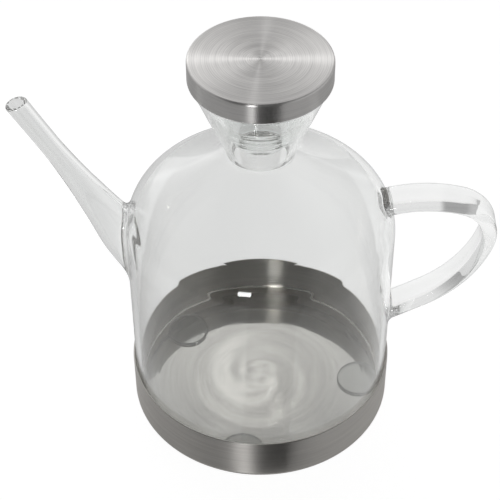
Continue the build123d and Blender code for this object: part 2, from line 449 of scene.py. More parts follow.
# %% [markdown]
# ## The spout
#
# The spout is a straight tube that was drawn out thin, so both its outside and its bore are round about
# their own slanting axis and only their radius changes along it.  Its mouth and direction come from the
# frame's mount.  Each line along the tube runs until it meets the vessel's skin, outside and inside.
# The mouth was cut a little nearer to level than square, so the lines start at a slant, too.

# %% The tube's own axis and radius
mouth = next(m for m in frame["record"]["mounts"] if m["name"] == "spout_tip")
spout_up = np.array(mouth["axis"], float)
spout_down = -spout_up / np.linalg.norm(spout_up)
bore_radius = mouth["dims"]["r_mm"] * mm
bore_length = mouth["dims"]["length_mm"] * mm

# The bore's measured length starts just past the tip, because the mouth is cut at a slant.
mouth_margin = -0.04 * mm
mouth_slant = np.tan(radians(12.0))
spout_tip = np.array(mouth["pos_m"]) - spout_down * (bore_length / 2 + mouth_margin)

# Distances from the tip, and the outside radius at each
spout_places = np.array([0.0, 21.0, 40.5, 56.0, 74.4, 93.3]) * mm
spout_radii = np.array([4.05, 3.95, 5.0, 6.7, 8.9, 7.6]) * mm
foot_slope = -np.tan(radians(14.0))
spout_wall = 1.5 * mm
spout_side = np.array([0.0, -1.0, 0.0])
spout_top = np.cross(spout_side, spout_down)


def smooth_through(places, values, end_slope, at):
    """Hermite curve through given values: each stretch is a cubic with the neighbours' mean slope.

    The curve starts with the first stretch's own slope, is level at the second value, and ends with
    the given slope.
    """
    slopes = np.gradient(values, places)
    slopes[[0, 1, -1]] = [(values[1] - values[0]) / (places[1] - places[0]), 0, end_slope]
    k = np.clip(np.searchsorted(places, at, side="right") - 1, 0, len(places) - 2)
    width = places[k + 1] - places[k]
    t = (at - places[k]) / width
    start = (1 + 2 * t) * (1 - t) ** 2 * values[k] + t * (1 - t) ** 2 * width * slopes[k]
    end = t**2 * (3 - 2 * t) * values[k + 1] + t**2 * (t - 1) * width * slopes[k + 1]
    return start + end


def spout_radius(s, bore):
    """Radius of the outside, or of the bore, which is even near the tip and one wall less below."""
    outside = smooth_through(spout_places, spout_radii, foot_slope, np.clip(s, 0, spout_places[-1]))
    return np.maximum(outside - spout_wall, bore_radius) if bore else outside


def spout_point(s, around, bore):
    """A point on the tube: along the axis by s, then out by the radius in the direction around."""
    out = np.cos(around)[..., None] * spout_side + np.sin(around)[..., None] * spout_top
    return spout_tip + s[..., None] * spout_down + spout_radius(s, bore)[..., None] * out


def spout_distance(p, bore):
    """Distance from the tube: how far a point is from the axis, less the radius there."""
    s = (p - spout_tip) @ spout_down
    away = p - spout_tip - s[..., None] * spout_down
    return np.linalg.norm(away, axis=-1) - spout_radius(s, bore)


print("spout from", np.round(spout_tip / mm, 1), "mm, down along", np.round(spout_down, 3))

# %% Where the vessel's grid opens for the spout
block_bottom = 53.0 * mm
block_top = 104.0 * mm
block_reach = 8

# Columns start at the front and run by way of the handle, the back and the spout.
handle_column = columns // 4
spout_column = 3 * columns // 4


def row_at(height):
    """Number of the row of the vessel's outside that lies nearest to a height."""
    return np.abs(outer_outline[:, 1] - height).argmin()


spout_rows = np.arange(row_at(block_bottom), row_at(block_top) + 1)
spout_cols = np.arange(spout_column - block_reach, spout_column + block_reach + 1)
print("the spout's block has rows", spout_rows[[0, -1]], "and columns", spout_cols[[0, -1]])

# %% Fuse the outside and the bore to the vessel's two skins
spout_fillet = 3.2 * mm
bore_fillet = 2.2 * mm
tube_rows = 64
tube_crowding = 1.5
lip_start = 0.8 * mm


def fused_tube(skin, bore, fillet):
    """The tube's grid and the collar that joins it to a skin, with the loop between them shared.

    The tube's rows crowd at the joint: the share still to go is a power of an even step.  Only the
    lower half is settled on the fused form, because the upper half is too far off to feel the vessel.
    """
    i, j, around = block(spout_rows, spout_cols)

    def vessel(p):
        return vessel_distance(p, bore)

    def field(p):
        return fuse(vessel(p), spout_distance(p, bore), fillet)

    def line(s):
        return spout_point(s, around, bore)

    reach = np.full(len(around), spout_places[-1])
    ends = crossing(line, vessel, 0 * reach, reach)
    start = lip_start + spout_radii[0] * np.sin(around) * mouth_slant
    share = 1 - (1 - np.linspace(0, 1, tube_rows)[:, None]) ** tube_crowding
    s = start + share * (ends - start)
    tube = spout_point(s, around + 0 * s, bore)
    lower_half = s[:, 0] > spout_places[-1] / 2
    tube[lower_half] = settle(tube[lower_half], field)
    return tube, collar(tube[-1], skin[i, j], field)


outer_tube, outer_collar = fused_tube(outer_skin, False, spout_fillet)
inner_tube, inner_collar = fused_tube(inner_skin, True, bore_fillet)
print("the tube is", outer_tube.shape[0], "rings of", outer_tube.shape[1], "points")

# %% The round lip of the spout's mouth
mouth_lip_steps = 17
lip_turn = np.linspace(0, pi, mouth_lip_steps)[:, None]
outer_ring, inner_ring = outer_tube[0], inner_tube[0]
ring_middle = (outer_ring + inner_ring) / 2
half_lip = np.linalg.norm(outer_ring - inner_ring, axis=-1, keepdims=True) / 2
mouth_lip = (
    ring_middle
    + (outer_ring - ring_middle) * np.cos(lip_turn)[..., None]
    - spout_down * half_lip * np.sin(lip_turn)[..., None]
)
print("lip %.2f mm thick" % (2 * half_lip.mean() / mm))

# %% [markdown]
# ## The handle
#
# The handle is a flat oval strap of solid glass that leaves the shoulder almost level, turns over a
# tight knuckle and comes back to the wall in a long curve.  Its line is a chain of arcs, so the angle
# of the line changes evenly with the distance along each arc, and adding up short steps in that
# direction gives its places.

# %% The line of the strap
strap_width = 13.4 * mm
strap_thickness = 5.9 * mm
handle_inset = 5.5 * mm
handle_rise = 11.9 * mm
handle_start = np.array([glass_radius - handle_inset, shoulder_z + handle_rise])
handle_start_angle = radians(20.0)
handle_radii = np.array([49.4, 15.0, 50.7]) * mm
handle_turns = np.radians([-36.0, -89.0, -44.5])
lower_arm = 21.0 * mm
line_count = 4001

arc_lengths = handle_radii * np.abs(handle_turns)
knots = np.concatenate([[0], np.cumsum(arc_lengths), [arc_lengths.sum() + lower_arm]])
knot_angles = handle_start_angle + np.concatenate([[0], np.cumsum(handle_turns), [handle_turns.sum()]])
line_s = np.linspace(0, knots[-1], line_count)
line_angle = np.interp(line_s, knots, knot_angles)
middle_angle = (line_angle[1:] + line_angle[:-1]) / 2
line_step = line_s[1]
line_x = handle_start[0] + np.concatenate([[0], np.cumsum(np.cos(middle_angle))]) * line_step
line_z = handle_start[1] + np.concatenate([[0], np.cumsum(np.sin(middle_angle))]) * line_step
line_end = np.round([line_x[-1] / mm, line_z[-1] / mm], 1)
print("strap line %.1f mm long, ends at" % (knots[-1] / mm), line_end)

# %% Points and distances of the strap
half_flat = (strap_width - strap_thickness) / 2


def strap_section(around):
    """Flat oval: the nearest point of a slot's edge to the ellipse point in the direction around."""
    y = strap_width / 2 * np.cos(around)
    n = strap_thickness / 2 * np.sin(around)
    on_flat = np.clip(y, -half_flat, half_flat)
    length = np.hypot(y - on_flat, n)
    return on_flat + (y - on_flat) / length * strap_thickness / 2, n / length * strap_thickness / 2


def strap_point(s, y, n):
    """A point of the strap: at s along the line, y across it and n out along the line's left normal."""
    angle = np.interp(s, line_s, line_angle)
    x = np.interp(s, line_s, line_x) - n * np.sin(angle)
    z = np.interp(s, line_s, line_z) + n * np.cos(angle)
    return np.stack([x, y + 0 * x, z], -1)


def slot_distance(y, n):
    """Distance from a slot's edge: from its flat middle line, less half the thickness."""
    return np.hypot(np.maximum(np.abs(y) - half_flat, 0), n) - strap_thickness / 2


to_centre = np.array([np.sin(handle_start_angle), -np.cos(handle_start_angle)])
arm_centre = handle_start + handle_radii[0] * to_centre
end_angle = knot_angles[-1]


def upper_strap(p):
    """Distance from the strap near its upper joint, where its line is the first arc."""
    n = np.hypot(p[..., 0] - arm_centre[0], p[..., 2] - arm_centre[1]) - handle_radii[0]
    return slot_distance(p[..., 1], n)


def lower_strap(p):
    """Distance from the strap near its lower joint, where its line is straight."""
    n = (p[..., 2] - line_z[-1]) * np.cos(end_angle) - (p[..., 0] - line_x[-1]) * np.sin(end_angle)
    return slot_distance(p[..., 1], n)


print("a point of the strap's edge is %.3f mm from the strap" % (slot_distance(strap_width / 2, 0.0) / mm))


# %% Where the strap meets the vessel
def line_point(s):
    """A point of the strap's middle line."""
    return strap_point(s, 0 * s, 0 * s)


def glass_depth(p):
    """How deep a point lies in the vessel: the distance with its sign turned, for the way out of it."""
    return -vessel_distance(p)


upper_end = crossing(line_point, glass_depth, knots[:1], knots[1:2])
lower_end = crossing(line_point, vessel_distance, knots[3:4], knots[4:5])
upper_joint = line_point(upper_end)[0]
lower_joint = line_point(lower_end)[0]
print("joints at", np.round(upper_joint / mm, 1), np.round(lower_joint / mm, 1))

# %% Fuse both ends of the strap to the outer skin
handle_fillet = 2.0 * mm
strap_rows = 110
joint_rows = 24
joint_reach = 7
handle_cols = np.arange(handle_column - joint_reach, handle_column + joint_reach + 1)


def rows_about(joint):
    """Row numbers of a block, centred on the row of the vessel's outside that is nearest to a joint."""
    away = np.hypot(outer_outline[:, 0] - joint[0], outer_outline[:, 1] - joint[2])
    middle = away.argmin()
    return np.arange(middle - joint_reach, middle + joint_reach + 1)


upper_rows = rows_about(upper_joint)
lower_rows = rows_about(lower_joint)
i_up, j_up, around = block(upper_rows, handle_cols)
i_low, j_low, _ = block(lower_rows[::-1], handle_cols)
strap_y, strap_n = strap_section(around)
ones = np.ones(len(around))


def edge_point(s):
    """A point of the strap's edge, at once for every direction round its section."""
    return strap_point(s, strap_y, strap_n)


def upper_field(p):
    """Distance from the fused form of the vessel and the strap's upper end."""
    return fuse(vessel_distance(p), upper_strap(p), handle_fillet)


def lower_field(p):
    """Distance from the fused form of the vessel and the strap's lower end."""
    return fuse(vessel_distance(p), lower_strap(p), handle_fillet)


start_s = crossing(edge_point, glass_depth, 0 * ones, knots[1] * ones)
end_s = crossing(edge_point, vessel_distance, knots[3] * ones, knots[4] * ones)
s = start_s + spread(strap_rows)[:, None] * (end_s - start_s)
strap = strap_point(s, strap_y + 0 * s, strap_n + 0 * s)
strap[:joint_rows] = settle(strap[:joint_rows], upper_field)
strap[-joint_rows:] = settle(strap[-joint_rows:], lower_field)
upper_collar = collar(strap[0], outer_skin[i_up, j_up], upper_field)
lower_collar = collar(strap[-1], outer_skin[i_low, j_low], lower_field)
print("the strap is", strap.shape[0], "rings of", strap.shape[1], "points")

# %% [markdown]
# ## Clear materials
#
# Clear glass needs few nodes: a Principled shader with full transmission bends light by its index and
# mirrors more at a glancing angle by itself.  Real blown glass is never quite even, so a slow noise
# feeds a weak bump, which makes what shows through it waver a little.  The pads, the stopper and the
# seal use the same recipe with a haze.  Light has to cross many skins in the neck, and with the index
# of real acrylic and silicone it turned dark there.  In the photograph the neck is pale, so both have
# a much lower index here.

# %% Small helpers for node trees
def add_node(tree, kind, values=None, **settings):
    """A node of the given kind; settings are its properties and values go to its inputs."""
    node = tree.nodes.new(kind)
    for name, value in settings.items():
        setattr(node, name, value)
    for name, value in (values or {}).items():
        if isinstance(value, bpy.types.NodeSocket):
            tree.links.new(value, node.inputs[name])
        else:
            node.inputs[name].default_value = value
    return node


def maths(tree, operation, *values):
    """The result of one Math node on the given values, such as their sum with ADD."""
    return add_node(tree, "ShaderNodeMath", dict(enumerate(values)), operation=operation).outputs[0]


def start_material(name):
    """A new material with its node tree, its Principled shader and its Object coordinates."""
    material = bpy.data.materials.new(name)
    material.use_nodes = True
    tree = material.node_tree
    place = add_node(tree, "ShaderNodeTexCoord").outputs["Object"]
    return material, tree, tree.nodes["Principled BSDF"], place


# %% The clear materials
clouds_per_metre = 220.0


def clear_material(name, colour, index, haze, haze_change, waver_size, waver_depth):
    """See-through material: an uneven haze as roughness, and a slow waver of the surface as bump."""
    material, tree, shader, place = start_material(name)
    shader.inputs["Base Color"].default_value = (*colour, 1)
    shader.inputs["Transmission Weight"].default_value = 1.0
    shader.inputs["IOR"].default_value = index
    waver = add_node(tree, "ShaderNodeTexNoise", {"Vector": place, "Scale": 1 / waver_size, "Detail": 1.0})
    bump = add_node(
        tree, "ShaderNodeBump", {"Height": waver.outputs["Fac"], "Distance": waver_depth, "Strength": 1.0}
    )
    tree.links.new(bump.outputs["Normal"], shader.inputs["Normal"])
    if haze_change:
        cloud = add_node(
            tree, "ShaderNodeTexNoise", {"Vector": place, "Scale": clouds_per_metre, "Detail": 3.0}
        )
        uneven = add_node(
            tree, "ShaderNodeMapRange",
            {"Value": cloud.outputs["Fac"], "To Min": haze, "To Max": haze + haze_change},
        )
        tree.links.new(uneven.outputs["Result"], shader.inputs["Roughness"])
    else:
        shader.inputs["Roughness"].default_value = haze
    return material


glass = clear_material(
    "clear_glass", colour=(0.985, 0.99, 0.986), index=1.47,
    haze=0.0, haze_change=0.0, waver_size=24 * mm, waver_depth=0.012 * mm,
)
acrylic = clear_material(
    "clear_acrylic", colour=(0.98, 0.985, 0.985), index=1.11,
    haze=0.0, haze_change=0.01, waver_size=12 * mm, waver_depth=0.01 * mm,
)
silicone = clear_material(
    "clear_silicone", colour=(0.975, 0.98, 0.975), index=1.045,
    haze=0.02, haze_change=0.04, waver_size=6 * mm, waver_depth=0.02 * mm,
)
gel = clear_material(
    "clear_gel", colour=(0.86, 0.865, 0.86), index=1.41,
    haze=0.02, haze_change=0.05, waver_size=5 * mm, waver_depth=0.02 * mm,
)
print("clear materials", glass.name, acrylic.name, silicone.name, gel.name)

# %% Put the fused glass together
outer_keep = opening(outer_skin, spout_rows, spout_cols)
outer_keep &= opening(outer_skin, upper_rows, handle_cols)
outer_keep &= opening(outer_skin, lower_rows, handle_cols)
inner_keep = opening(inner_skin, spout_rows, spout_cols)
make_piece(
    "fused_glass",
    [
        cells(outer_skin, keep=outer_keep),
        cells(inner_skin, keep=inner_keep),
        cells(lip),
        cells(outer_tube),
        cells(outer_collar),
        cells(inner_tube),
        cells(inner_collar),
        cells(mouth_lip),
        cells(strap),
        cells(upper_collar),
        cells(lower_collar),
    ],
    "cruet", glass, ["glass_vessel", "spout", "handle"],
)

# %% [markdown]
# ## Brushed steel
#
# The tray's wall and the lid's skirt were brushed while they turned, and the lid's top was spun against
# an abrasive, so every scratch runs round the axis.  Such a surface smears a reflection across its
# scratches: up and down on a wall, and in and out on a disc, which gives the lid its bow-tie of light.
# The shader's anisotropy does the smear, with a tangent that runs round the axis, and fine streaks
# vary colour, roughness and bump.  The streaks come from a noise that changes fast with the distance
# from the axis and with height, and slowly round the axis.

# %% Numbers of the brushing
mill_roughness = 0.05
mill_edge = 1.0 * mm
scratch_depth = 0.004 * mm
band_widening = 9
band_lengthening = 2.5
band_share = 0.35
pattern_low, pattern_high = 0.3, 0.7
groove_wander = 9.0
groove_share = 0.07
quarter_turn = 0.25
print("broad bands are", band_widening, "times as wide as the fine streaks")


# %% A steel brushed round the axis
def brushed_steel(
    name, dark, light, smooth, rough, smear, streak_size, streak_length, unbrushed_below=None, grooves=None
):
    """Steel brushed round the upright axis, with a smoother mill finish below a height if one is given.

    The streak noise reads (distance from axis / streak size, height / streak size, cosine and sine of
    the angle / streak length), so it has no seam.  Fine streaks are mixed with a share of broad bands.
    Grooves are a sine of the distance from the axis, pushed to and fro by the bands, as a turning tool
    leaves them.  The pattern between its low and its high level blends dark to light, rough to smooth.
    A quarter turn lays the smear across the scratches.
    """
    material, tree, shader, place = start_material(name)
    apart = add_node(tree, "ShaderNodeSeparateXYZ", {"Vector": place})
    flat = add_node(tree, "ShaderNodeCombineXYZ", {"X": apart.outputs["X"], "Y": apart.outputs["Y"]})
    away = add_node(tree, "ShaderNodeVectorMath", {0: flat.outputs["Vector"]}, operation="LENGTH")
    facing = add_node(tree, "ShaderNodeVectorMath", {0: flat.outputs["Vector"]}, operation="NORMALIZE")
    round_it = add_node(
        tree, "ShaderNodeVectorMath", {0: (0, 0, 1), 1: facing.outputs["Vector"]}, operation="CROSS_PRODUCT"
    )
    tree.links.new(round_it.outputs["Vector"], shader.inputs["Tangent"])
    direction = add_node(tree, "ShaderNodeSeparateXYZ", {"Vector": facing.outputs["Vector"]})

    def scaled(value, factor):
        return maths(tree, "MULTIPLY", value, factor)

    def streaks(size, length, detail):
        lanes = add_node(tree, "ShaderNodeCombineXYZ", {
            "X": scaled(away.outputs["Value"], 1 / size),
            "Y": scaled(apart.outputs["Z"], 1 / size),
            "Z": scaled(direction.outputs["X"], 1 / length),
        })
        return add_node(tree, "ShaderNodeTexNoise", {
            "Vector": lanes.outputs["Vector"],
            "W": scaled(direction.outputs["Y"], 1 / length),
            "Scale": 1.0,
            "Detail": detail,
            "Roughness": 0.65,
        }, noise_dimensions="4D").outputs["Fac"]

    def between(value, low, high):
        mix = add_node(tree, "ShaderNodeMix", {"Factor": value, "A": low, "B": high}, data_type="FLOAT")
        return mix.outputs["Result"]

    fine = streaks(streak_size, streak_length, detail=2.0)
    broad = streaks(streak_size * band_widening, streak_length * band_lengthening, detail=1.0)
    pattern = between(band_share, fine, broad)
    if grooves:
        phase = scaled(away.outputs["Value"], 2 * pi / grooves)
        wave = maths(tree, "SINE", maths(tree, "ADD", phase, scaled(broad, groove_wander)))
        pattern = maths(tree, "MULTIPLY_ADD", wave, groove_share, pattern)
    levels = {"Value": pattern, "From Min": pattern_low, "From Max": pattern_high}
    blend = add_node(tree, "ShaderNodeMapRange", levels)
    colour = add_node(tree, "ShaderNodeMix", {
        "Factor": blend.outputs["Result"],
        "A": (*dark, 1),
        "B": (*light, 1),
    }, data_type="RGBA")
    tree.links.new(colour.outputs["Result"], shader.inputs["Base Color"])
    grip = add_node(tree, "ShaderNodeMapRange", {**levels, "To Min": rough, "To Max": smooth})
    roughness = grip.outputs["Result"]
    shader.inputs["Anisotropic"].default_value = smear
    if unbrushed_below:
        share = add_node(tree, "ShaderNodeMapRange", {
            "Value": apart.outputs["Z"], "From Min": unbrushed_below, "From Max": unbrushed_below + mill_edge,
        }).outputs["Result"]
        roughness = between(share, mill_roughness, roughness)
        tree.links.new(scaled(share, smear), shader.inputs["Anisotropic"])
    tree.links.new(roughness, shader.inputs["Roughness"])
    bump = add_node(tree, "ShaderNodeBump", {"Height": fine, "Distance": scratch_depth, "Strength": 0.6})
    tree.links.new(bump.outputs["Normal"], shader.inputs["Normal"])
    shader.inputs["Metallic"].default_value = 1.0
    shader.inputs["Anisotropic Rotation"].default_value = quarter_turn
    return material


# %% The tray's steel and the cap's steel
tray_steel = brushed_steel(
    "tray_steel", dark=(0.64, 0.62, 0.59), light=(0.82, 0.795, 0.76), smooth=0.38, rough=0.48, smear=1.0,
    streak_size=0.11 * mm, streak_length=0.3, unbrushed_below=0.9 * mm,
)
cap_steel = brushed_steel(
    "cap_steel", dark=(0.61, 0.6, 0.59), light=(0.82, 0.805, 0.79), smooth=0.28, rough=0.35, smear=1.0,
    streak_size=0.16 * mm, streak_length=0.6, grooves=0.75 * mm,
)
print("steel finishes", tray_steel.name, cap_steel.name)

# %% [markdown]
# ## The steel tray
#
# The tray is a cup of thin sheet.  Its section goes down the outside, round the foot, under the floor,
# and comes back up inside, so that the sheet shows its thickness at the rim.  The glass stands inside
# it with a hair's breadth of air all round.

# %% Turn the tray
tray_low, tray_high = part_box("base_tray")
tray_radius = tray_high.x
tray_rim = tray_high.z
tray_sheet = 0.6 * mm
tray_foot = 1.6 * mm
tray_edge = 0.25 * mm
tray_corners = [
    (0, tray_low.z),
    (tray_radius, tray_low.z),
    (tray_radius, tray_rim),
    (tray_radius - tray_sheet, tray_rim),
    (tray_radius - tray_sheet, tray_low.z + tray_sheet),
    (0, tray_low.z + tray_sheet),
]
tray_bends = [tray_foot, tray_edge, tray_edge, tray_foot - tray_sheet]
tray_outline = rounded(tray_corners, tray_bends, run_steps=[16, 16, 2, 16, 24], bend_steps=[8, 4, 4, 6])
tray_turned = turned(tray_outline, columns=256)
make_piece("steel_tray", [cells(tray_turned)], "cruet", tray_steel, ["base_tray"])

# %% [markdown]
# ## The gel pads
#
# Three clear pads hold the glass off the steel.  Only their round outlines show through the glass, so
# each is a small disc with a soft edge, squeezed a hair thinner than its seat so that no two faces lie
# in one place, which would make a renderer flicker between them.

# %% Turn the pads
pad_relief = 0.02 * mm
pad_edge = 0.45 * mm
for pad_name in ("gel_pad_right", "gel_pad_back", "gel_pad_front"):
    pad_low, pad_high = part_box(pad_name)
    pad_middle = ((pad_low.x + pad_high.x) / 2, (pad_low.y + pad_high.y) / 2)
    pad_radius = (pad_high.x - pad_low.x) / 2
    low_z, high_z = pad_low.z + pad_relief, pad_high.z - pad_relief
    pad_corners = [(0, low_z), (pad_radius, low_z), (pad_radius, high_z), (0, high_z)]
    pad_outline = rounded(pad_corners, [pad_edge] * 2, run_steps=[8, 2, 8], bend_steps=[5, 5])
    pad_turned = turned(pad_outline, columns=64, centre=pad_middle)
    make_piece("soft_" + pad_name, [cells(pad_turned)], "cruet", gel, [pad_name])

# %% [markdown]
# ## The lid
#
# The cap is a shallow steel cup, upside down.  Under it sits a clear stopper: a flange that rests on
# the glass rim, and a hollow cone that follows the funnel.  A silicone sleeve with three thin lips goes
# round the cone and seals it.  All three ride on the lid's body, so they rise together.

# %% Turn the cap
cap_low, cap_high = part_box("lid_cap")
cap_radius = cap_high.x
cap_sheet = 0.7 * mm
cap_edge = 0.9 * mm
hem = 0.25 * mm
cap_corners = [
    (0, cap_high.z - cap_sheet),
    (cap_radius - cap_sheet, cap_high.z - cap_sheet),
    (cap_radius - cap_sheet, cap_low.z),
    (cap_radius, cap_low.z),
    (cap_radius, cap_high.z),
    (0, cap_high.z),
]
cap_outline = rounded(
    cap_corners, [cap_edge - cap_sheet, hem, hem, cap_edge],
    run_steps=[12, 8, 2, 10, 24], bend_steps=[4, 4, 4, 8],
)
cap_turned = turned(cap_outline, columns=224)
make_piece("steel_cap", [cells(cap_turned)], "lid", cap_steel, ["lid_cap"])

# %% The funnel and the cone that hangs in it
stopper_low, stopper_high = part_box("lid_insert")
flange_radius = stopper_high.x
funnel_lean = (rim_radius - waist_radius) / (rim_z - rim_band - waist_z)
funnel_wall = wall * np.hypot(1, funnel_lean)
stopper_gap = 3.0 * mm
stopper_wall = 1.5 * mm


def funnel_inside(z):
    """Distance from the axis to the funnel's inner skin: it grows evenly with height."""
    return waist_radius + (z - waist_z) * funnel_lean - funnel_wall


def stopper_side(z):
    """The stopper's cone keeps one gap from the funnel all the way."""
    return funnel_inside(z) - stopper_gap


print("stopper's cone %.2f mm wide at its lower end" % (2 * stopper_side(stopper_low.z) / mm))

# %% Turn the stopper, with a hair of air above and below its flange
flange_relief = 0.02 * mm
cone_end_bend = 1.4 * mm
flange_root_bend = 0.5 * mm
flange_lower_bend = 0.3 * mm
flange_upper_bend = 0.4 * mm
bowl_edge_bend = 0.3 * mm
bowl_side_bend = 0.3 * mm
bowl_floor_bend = 0.8 * mm

top_z = stopper_high.z - flange_relief
seat_z = rim_z + flange_relief
bowl_z = stopper_low.z + stopper_wall
stopper_corners = [
    (0, stopper_low.z),
    (stopper_side(stopper_low.z), stopper_low.z),
    (stopper_side(seat_z), seat_z),
    (flange_radius, seat_z),
    (flange_radius, top_z),
    (stopper_side(seat_z) - stopper_wall, top_z),
    (stopper_side(seat_z) - stopper_wall, seat_z),
    (stopper_side(stopper_low.z) - stopper_wall, bowl_z),
    (0, bowl_z),
]
stopper_bends = [
    cone_end_bend, flange_root_bend, flange_lower_bend, flange_upper_bend,
    bowl_edge_bend, bowl_side_bend, bowl_floor_bend,
]
stopper_outline = rounded(
    stopper_corners, stopper_bends,
    run_steps=[6, 20, 4, 4, 4, 4, 20, 6], bend_steps=[6, 4, 4, 4, 4, 4, 5],
)
stopper_turned = turned(stopper_outline, columns=128)
make_piece("stopper", [cells(stopper_turned)], "lid", acrylic, ["lid_insert"])

# %% Turn the seal
seal_low, seal_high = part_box("lid_seal")
sleeve_thickness = 1.0 * mm
sleeve_relief = 0.08 * mm
lip_count = 3
lip_gap = 0.25 * mm
lip_rise = 0.9 * mm
lip_thickness = 0.6 * mm
seal_bend = 0.12 * mm
seal_steps = 3
sleeve_height = seal_high.z - seal_low.z
lip_starts = seal_low.z + sleeve_height * (np.arange(lip_count) + 0.5) / lip_count


def on_sleeve(z, depth):
    """A point of the sleeve: at a height, and by a depth out from the stopper's cone."""
    return stopper_side(z) + depth, z


def lip_corners(z):
    """The four corners of a lip that starts at a height and slants up to just short of the funnel."""
    tip_z = z + lip_rise
    tip_radius = funnel_inside(tip_z) - lip_gap
    return [
        on_sleeve(z, sleeve_thickness),
        (tip_radius, tip_z),
        (tip_radius, tip_z + lip_thickness / 2),
        on_sleeve(z + lip_thickness, sleeve_thickness),
    ]


seam = on_sleeve(seal_low.z + sleeve_height / 2, sleeve_relief)
seal_corners = np.vstack([
    [seam, on_sleeve(seal_low.z, sleeve_relief), on_sleeve(seal_low.z, sleeve_thickness)],
    *[lip_corners(z) for z in lip_starts],
    [on_sleeve(seal_high.z, sleeve_thickness), on_sleeve(seal_high.z, sleeve_relief), seam],
])
bend_count = len(seal_corners) - 2
seal_outline = rounded(
    seal_corners, [seal_bend] * bend_count,
    run_steps=[seal_steps] * (bend_count + 1), bend_steps=[seal_steps] * bend_count,
)
seal_turned = turned(seal_outline, columns=128)
make_piece("seal", [cells(seal_turned)], "lid", silicone, ["lid_seal"])

# %% [markdown]
# ## Floor
#
# The cruet stands on plain white.  Clear glass on white hardly shows, because every ray that it bends
# ends on white again, yet in the photograph its walls are pale grey.  So the floor glows by itself, and
# a Light Path node asks what kind of ray looks at it: the camera sees it nearly white, a ray that came
# through glass sees it darker, most of all at the left, and a mirror ray sees little of its glow.  A ray
# that glass bends sharply counts as a mirror ray as well, so it sees both glows added.

# %% Floor
floor_size = 4.0
floor_grey = 0.32
camera_glow = 0.9
mirror_glow = 0.25
corner = floor_size / 2


def ramp(tree, value, places, levels):
    """A smooth step of a value: from the first level to the second between the two places."""
    return add_node(tree, "ShaderNodeMapRange", {
        "Value": value,
        "From Min": places[0],
        "From Max": places[1],
        "To Min": levels[0],
        "To Max": levels[1],
    }, interpolation_type="SMOOTHSTEP").outputs["Result"]


def stage_sheet(name, corners, height):
    """A flat sheet with the given corners at a height, as stage, with a material of its own."""
    mesh = bpy.data.meshes.new(name)
    mesh.from_pydata([(x, y, height) for x, y in corners], [], [tuple(range(len(corners)))])
    sheet = bpy.data.objects.new(name, mesh)
    bpy.context.scene.collection.objects.link(sheet)
    paint = bpy.data.materials.new(name + "_paint")
    paint.use_nodes = True
    mesh.materials.append(paint)
    return sheet, paint.node_tree


floor, floor_tree = stage_sheet(
    "floor", [(-corner, -corner), (corner, -corner), (corner, corner), (-corner, corner)], 0
)
paper = floor_tree.nodes["Principled BSDF"]
paper.inputs["Base Color"].default_value = (floor_grey, floor_grey, floor_grey, 1)
paper.inputs["Roughness"].default_value = 0.9
paper.inputs["Specular IOR Level"].default_value = 0.0
position = add_node(floor_tree, "ShaderNodeNewGeometry").outputs["Position"]
spot = add_node(floor_tree, "ShaderNodeSeparateXYZ", {"Vector": position}).outputs["X"]
glass_glow = maths(
    floor_tree, "MULTIPLY",
    ramp(floor_tree, spot, places=(-0.05, 0.12), levels=(0.45, 0.56)),
    ramp(floor_tree, spot, places=(-0.085, -0.055), levels=(0.7, 1.0)),
)
rays = add_node(floor_tree, "ShaderNodeLightPath").outputs
glow = 0.0
for kind, level in (
    ("Is Camera Ray", camera_glow), ("Is Transmission Ray", glass_glow), ("Is Glossy Ray", mirror_glow)
):
    glow = maths(floor_tree, "MULTIPLY_ADD", rays[kind], level, glow)
paper.inputs["Emission Color"].default_value = (1, 1, 1, 1)
floor_tree.links.new(glow, paper.inputs["Emission Strength"])
print(floor.name, "of", floor_size, "m")

# %% [markdown]
# ## Studio light
#
# In a studio the light comes from large soft panels, so the world is painted by direction.  The camera
# sees plain white behind the cruet, and only the glass and the steel see the studio:
#
# - the back is brighter than the front, so bent glass and steel show light and dark side by side
# - a screen behind, from the left to past the middle, and a panel at each side, the right one brighter
# - overhead the light falls off
# - a small glow lies where the vessel's floor mirrors it to the camera, and catches the swirl's crests
# - two narrow strips lie where the lid mirrors them to the camera, and draw the bar of light across it
#
# Rays that come through glass see the studio a little weaker and more even, and not the strips.

# %% Helpers for a world painted by direction
world = bpy.data.worlds.new("studio")
bpy.context.scene.world = world
world.use_nodes = True
sky = world.node_tree
sky.nodes.clear()
toward = add_node(sky, "ShaderNodeTexCoord").outputs["Generated"]
apart = add_node(sky, "ShaderNodeSeparateXYZ", {"Vector": toward}).outputs
to_right, to_back, upward = apart["X"], apart["Y"], apart["Z"]


def band(value, rise, fall, level=1.0):
    """A strip of light: the product of a step up to the level and a step down to nothing.

    Each step is given from its dark place to its bright one.
    """
    up = ramp(sky, value, rise, (0.0, level))
    down = ramp(sky, value, fall, (0.0, 1.0))
    return maths(sky, "MULTIPLY", up, down)


print("world", world.name)

# %% Panels, screen, glow and strips
glow_direction = (-0.02, 0.66, 0.75)
glow_radius = 0.055
glow_level = 0.75
strip_level = 1.4

